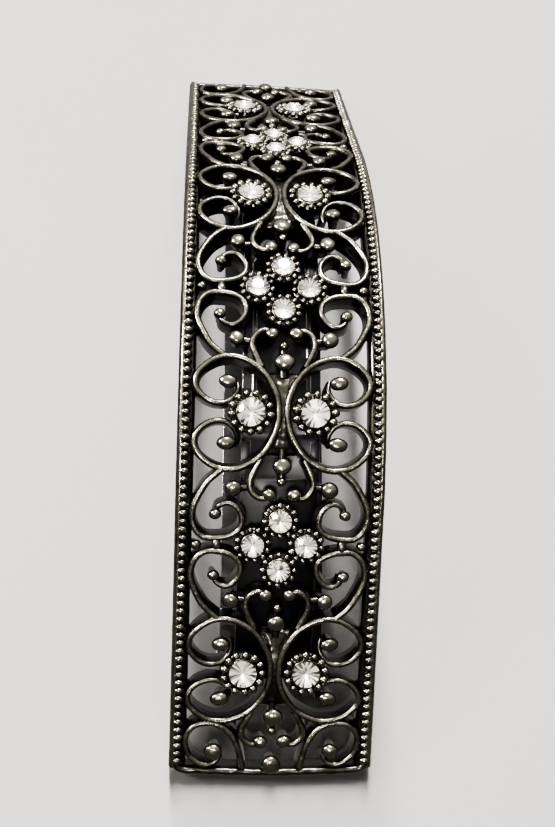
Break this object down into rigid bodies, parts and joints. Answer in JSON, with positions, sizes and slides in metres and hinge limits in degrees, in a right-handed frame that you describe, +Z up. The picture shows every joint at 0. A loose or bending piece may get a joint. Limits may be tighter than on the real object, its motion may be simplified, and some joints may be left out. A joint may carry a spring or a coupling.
{
  "type": "rhinestone barrette",
  "caption": "Arched hair barrette with a cast openwork scroll plate, set clear rhinestones and a hinged spring clip underneath.",
  "frame": {"origin": "on the surface that the barrette lies on, under the middle of the plate", "axes": "X across the plate, Y along it with the hinge at the -Y end and the thumb tab at the +Y end, Z up through the stones"},
  "size_m": [0.022, 0.0958, 0.025],
  "materials": {
    "plate_metal": "antiqued dark cast white metal, polished on the raised scrolls and beads",
    "clip_steel": "blackened pressed steel strip, worn bright on its edges",
    "bright_steel": "plain spring steel",
    "rhinestone": "clear cut glass over a silvered back"
  },
  "bodies": {
    "frame": {"openwork_plate": "plate_metal", "clip_base": "clip_steel", "hinge_pin": "bright_steel", "bow_spring": "bright_steel", "stone_large_1": "rhinestone", "stone_large_2": "rhinestone", "stone_large_3": "rhinestone", "stone_large_4": "rhinestone", "stone_large_5": "rhinestone", "stone_large_6": "rhinestone", "stone_large_7": "rhinestone", "stone_large_8": "rhinestone", "stone_small_1": "rhinestone", "stone_small_2": "rhinestone", "stone_small_3": "rhinestone", "stone_small_4": "rhinestone", "stone_small_5": "rhinestone", "stone_small_6": "rhinestone", "stone_small_7": "rhinestone", "stone_small_8": "rhinestone", "stone_small_9": "rhinestone", "stone_small_10": "rhinestone", "stone_small_11": "rhinestone", "stone_small_12": "rhinestone"},
    "arm": {"clasp_arm": "clip_steel"}
  },
  "joints": [
    {"name": "arm_hinge", "type": "hinge", "parent": "frame", "child": "arm", "pos_m": [0, -0.03548, 0.00425], "axis": [-1, 0, 0], "range_deg": [0, 75]}
  ]
}
